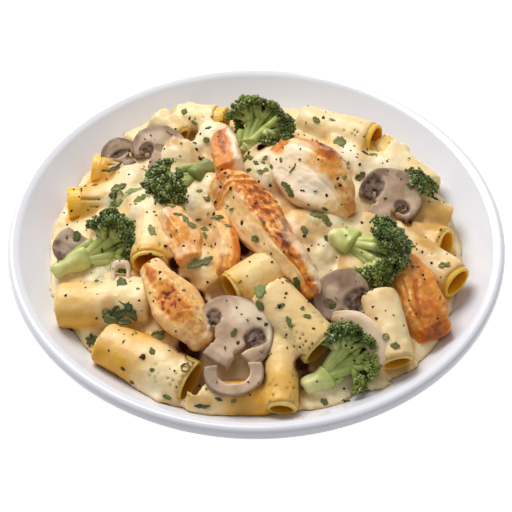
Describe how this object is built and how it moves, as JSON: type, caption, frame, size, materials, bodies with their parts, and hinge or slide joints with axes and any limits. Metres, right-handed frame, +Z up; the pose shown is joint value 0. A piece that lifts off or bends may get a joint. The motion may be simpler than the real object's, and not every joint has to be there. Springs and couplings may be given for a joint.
{
  "type": "bowl of chicken rigatoni",
  "caption": "Wide white pasta bowl heaped with creamy rigatoni, seared chicken strips, broccoli florets and mushroom slices, flecked with herbs.",
  "frame": {"origin": "centre of the bowl's foot ring, on the surface it stands on", "axes": "+Z up, out of the open bowl; -Y towards the person eating, +X to their right"},
  "size_m": [0.235, 0.235, 0.0748],
  "materials": {
    "bowl": "gloss white glaze",
    "pasta": "moist cooked pasta coated in cream sauce",
    "sauce": "smooth cream sauce, moist sheen",
    "chicken": "seared cooked chicken, moist",
    "broccoli": "cooked, matte buds and moist stems",
    "mushroom": "cooked, moist",
    "herbs": "chopped parsley and ground pepper, matte"
  },
  "bodies": {
    "root": {"bowl": "bowl", "pasta_heap": "pasta", "chicken_strip_centre": "chicken", "chicken_chunk_back": "chicken", "chicken_bite_top": "chicken", "chicken_bite_left": "chicken", "chicken_bite_middle": "chicken", "chicken_strip_front_left": "chicken", "chicken_strip_right": "chicken", "broccoli_back": "broccoli", "broccoli_back_left": "broccoli", "broccoli_left": "broccoli", "broccoli_right": "broccoli", "broccoli_back_right": "broccoli", "broccoli_front_right": "broccoli", "broccoli_crumb_left": "broccoli", "mushroom_back_left": "mushroom", "mushroom_far_left": "mushroom", "mushroom_left": "mushroom", "mushroom_right": "mushroom", "mushroom_front": "mushroom", "mushroom_front_low": "mushroom", "mushroom_centre_right": "mushroom", "mushroom_end_right": "mushroom", "mushroom_bit_left": "mushroom"}
  },
  "joints": []
}
